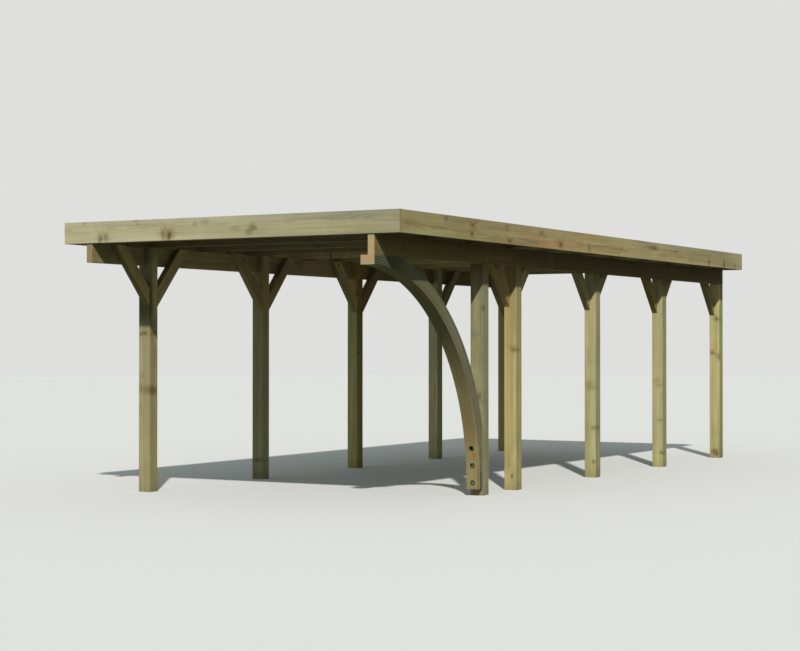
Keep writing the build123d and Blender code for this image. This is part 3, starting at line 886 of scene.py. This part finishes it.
def make_screw_head_tree():
    """A screw head on its washer at each place, turned to look along the place's facing."""
    geometry = "NodeSocketGeometry"
    wiring, given, result = new_group(
        "screw_heads",
        {"Places": geometry, "Head Radius": 0.005, "Head Height": 0.003, "Head Sides": 12, "Crown Share": 0.8,
         "Socket Share": 0.45, "Socket Depth": 0.001, "Washer Radius": 0.008, "Washer Thickness": 0.001,
         "Steel": "NodeSocketMaterial"},
        {"Heads": geometry}, kind="GeometryNodeTree",
    )

    def frustum(sides, bottom, top, height, start):
        cone = wiring.value("GeometryNodeMeshCone", {"Vertices": sides, "Radius Bottom": bottom, "Radius Top": top,
                                                     "Depth": height}, "Mesh")
        return wiring.value("GeometryNodeTransform", {"Geometry": cone, "Translation": wiring.combine(0.0, 0.0, start)})

    washer_radius, washer_thickness = given["Washer Radius"], given["Washer Thickness"]
    head_radius, head_sides = given["Head Radius"], given["Head Sides"]
    shank_height = given["Head Height"] * 0.7
    washer = frustum(20, washer_radius, washer_radius * 0.94, washer_thickness, 0.0)
    shank = frustum(head_sides, head_radius, head_radius, shank_height, washer_thickness)
    crown = frustum(head_sides, head_radius, head_radius * given["Crown Share"], given["Head Height"] * 0.3,
                    washer_thickness + shank_height)
    looks_up = wiring.separate(wiring.value("GeometryNodeInputNormal"))[2]
    inset = wiring.values("GeometryNodeExtrudeMesh", {
        "Mesh": crown, "Selection": wiring.math("GREATER_THAN", looks_up, 0.99), "Offset Scale": 0.0})
    narrowed = wiring.value("GeometryNodeScaleElements", {"Geometry": inset["Mesh"], "Selection": inset["Top"],
                                                          "Scale": given["Socket Share"]})
    socket = wiring.value("GeometryNodeExtrudeMesh", {"Mesh": narrowed, "Selection": inset["Top"],
                                                      "Offset Scale": given["Socket Depth"] * -1.0}, "Mesh")
    whole_head = wiring.node("GeometryNodeJoinGeometry")
    for piece in (socket, shank, washer):
        wiring.feed(whole_head.inputs[0], piece)
    facing = wiring.value("GeometryNodeInputNamedAttribute", {"Name": "facing"}, data_type="FLOAT_VECTOR")
    turn = wiring.value("FunctionNodeAlignRotationToVector", {"Vector": facing}, axis="Z")
    placed = wiring.value("GeometryNodeInstanceOnPoints", {
        "Points": given["Places"], "Instance": Value(wiring, whole_head.outputs[0]), "Rotation": turn})
    realized = wiring.value("GeometryNodeRealizeInstances", {"Geometry": placed})
    wiring.feed(result["Heads"], wiring.value("GeometryNodeSetMaterial", {"Geometry": realized,
                                                                          "Material": given["Steel"]}))
    return wiring.tree


def add_object(name, data):
    made = bpy.data.objects.new(name, data)
    bpy.context.scene.collection.objects.link(made)
    return made


zinc_steel = make_zinc_steel()
screw_head_tree = make_screw_head_tree()
SCREW_SIZES = ("Head Radius", "Head Height", "Head Sides", "Crown Share", "Socket Share", "Socket Depth",
               "Washer Radius", "Washer Thickness")


def lay_screws(name, places, *sizes):
    """Puts a screw head at each (place, facing), as one plain mesh that rides on the body."""
    points = bpy.data.meshes.new(name + "_places")
    points.from_pydata([place for place, _ in places], [], [])
    facing = points.attributes.new("facing", "FLOAT_VECTOR", "POINT")
    for item, (_, direction) in zip(facing.data, places):
        item.vector = direction
    carrier = add_object(name, points)
    modifier = carrier.modifiers.new("heads", "NODES")
    modifier.node_group = screw_head_tree
    identifiers = {item.name: item.identifier for item in screw_head_tree.interface.items_tree
                   if item.in_out == "INPUT"}
    for socket_name, value in zip((*SCREW_SIZES, "Steel"), (*sizes, zinc_steel)):
        modifier[identifiers[socket_name]] = value
    evaluated = carrier.evaluated_get(bpy.context.evaluated_depsgraph_get())
    finished = bpy.data.meshes.new_from_object(evaluated)
    carrier.modifiers.remove(modifier)
    carrier.data = finished
    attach(carrier, BODY)


def post_screws(node):
    """Two screws through the purlin into a post, one to each side of its middle line."""
    middle = middle_of(node)
    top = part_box(node)[1].z
    side = 1 if middle.x > 0 else -1
    for below, aside in ((0.045, -0.022), (0.120, 0.022)):
        yield Vector((side * PURLIN_OUTER_X, middle.y + aside, top - below)), RIGHT * side


def brace_screws(node):
    """Two screws through a brace's upper end into the purlin, and two through its lower end into the post."""
    low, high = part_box(node)
    middle_x = middle_of(node).x
    side = 1 if middle_x > 0 else -1
    way = -1 if node.endswith("front") else 1
    upper, lower = (high.y, low.y) if way > 0 else (low.y, high.y)
    inner = low.x if side > 0 else high.x
    for from_end, below in ((0.105, 0.055), (0.150, 0.115)):
        yield Vector((inner, upper - way * from_end, high.z - below)), RIGHT * -side
    out = Vector((0, way * math.sin(BRACE_SLOPE), -math.cos(BRACE_SLOPE)))
    for step in (0.055, 0.105):
        yield Vector((middle_x, lower, low.z)) + brace_grain(node) * step, out


def lay_all_screws():
    """Coach screws in the arch's foot, screws in the braces and the purlins, and screws through the roof sheet."""
    foot_x, foot_y = middle_of("entry_arch").x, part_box("post_arch")[0].y - 0.045
    lay_screws("coach_screws", [(Vector((foot_x, foot_y, z)), FRONT) for z in FOOT_SCREW_HEIGHTS],
               0.0098, 0.008, 6, 0.86, 0.3, 0.0004, 0.0185, 0.003)
    frame_places = []
    for name in sorted(nodes):
        if name.startswith("post"):
            frame_places.extend(post_screws(name))
        elif name.startswith("brace"):
            frame_places.extend(brace_screws(name))
    lay_screws("frame_screws", frame_places, 0.0055, 0.0012, 14, 0.8, 0.5, 0.0012, 0.0075, 0.0007)
    valley_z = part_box("roof_sheet")[0].z + 0.001
    roof_places = [(Vector((step * RIB_PITCH, first_rafter.y + row * rafter_pitch, valley_z)), UP)
                   for row in range(RAFTER_COUNT) for step in range(-RIBS_TO_ONE_SIDE, RIBS_TO_ONE_SIDE + 1)]
    lay_screws("roof_screws", roof_places, 0.0045, 0.005, 6, 0.85, 0.4, 0.0002, 0.008, 0.002)


lay_all_screws()


def make_floor():
    """A plain pale floor. It throws little light back up, so that the roof stays dark below."""
    floor_mesh = bpy.data.meshes.new("floor")
    shape = bmesh.new()
    bmesh.ops.create_circle(shape, cap_ends=True, segments=96, radius=60.0)
    shape.to_mesh(floor_mesh)
    shape.free()
    floor = add_object("floor", floor_mesh)
    material, wiring, shader, coordinates = start_material("floor")
    x, y, _ = wiring.separate(coordinates["Object"])
    thrown = wiring.shade((0.84, 0.95, 0.92), y.ramp(-4.6, -3.4, 0.13, 0.29) * x.ramp(1.2, 2.0, 1.0, 0.20))
    wiring.feed_all(shader.inputs, {
        "Base Color": wiring.blend(wiring.seen_directly(), thrown, (0.70, 0.70, 0.72, 1.0)),
        "Roughness": 0.9, "Specular IOR Level": 0.1})
    floor_mesh.materials.append(material)


def make_light():
    """A low sun from the front right, and a soft sky that is brightest overhead and in front."""
    sun_data = bpy.data.lights.new("sun", "SUN")
    sun_data.energy = 3.7
    sun_data.angle = math.radians(1.5)
    sun_data.color = (1.0, 0.97, 0.90)
    sun = add_object("sun", sun_data)
    sun.rotation_euler = TOWARDS_SUN.to_track_quat("Z", "Y").to_euler()
    world = bpy.data.worlds.new("studio")
    world.use_nodes = True
    world.node_tree.nodes.clear()
    wiring = Wiring(world.node_tree)
    _, backwards, upwards = wiring.separate(wiring.values("ShaderNodeTexCoord")["Generated"])
    open_sky = upwards.ramp(0.0, 0.7, 0.0, 0.16) + (backwards * -1.0).ramp(0.2, 1.0, 0.0, 0.31)
    sky = wiring.combine(0.152 + open_sky * 0.95, 0.185 + open_sky, 0.15 + open_sky * 1.08)
    backdrop = wiring.blend(wiring.seen_directly(), sky, (0.74, 0.74, 0.73, 1.0))
    background = wiring.value("ShaderNodeBackground", {"Color": backdrop, "Strength": 1.0})
    wiring.node("ShaderNodeOutputWorld", {"Surface": background})
    bpy.context.scene.world = world


def make_camera():
    camera_data = bpy.data.cameras.new("photo_view")
    camera_data.sensor_width = SENSOR_WIDTH_MM
    camera_data.lens = FOCAL_LENGTH_PX * SENSOR_WIDTH_MM / PHOTO_WIDTH_PX
    camera_data.clip_end = 200.0
    camera = add_object("photo_view", camera_data)
    camera.location = CAMERA_PLACE
    camera.rotation_euler = (math.radians(90) + CAMERA_PITCH, 0.0, CAMERA_YAW)
    bpy.context.scene.camera = camera


make_floor()
make_light()
make_camera()
bpy.context.scene.view_settings.view_transform = "Standard"
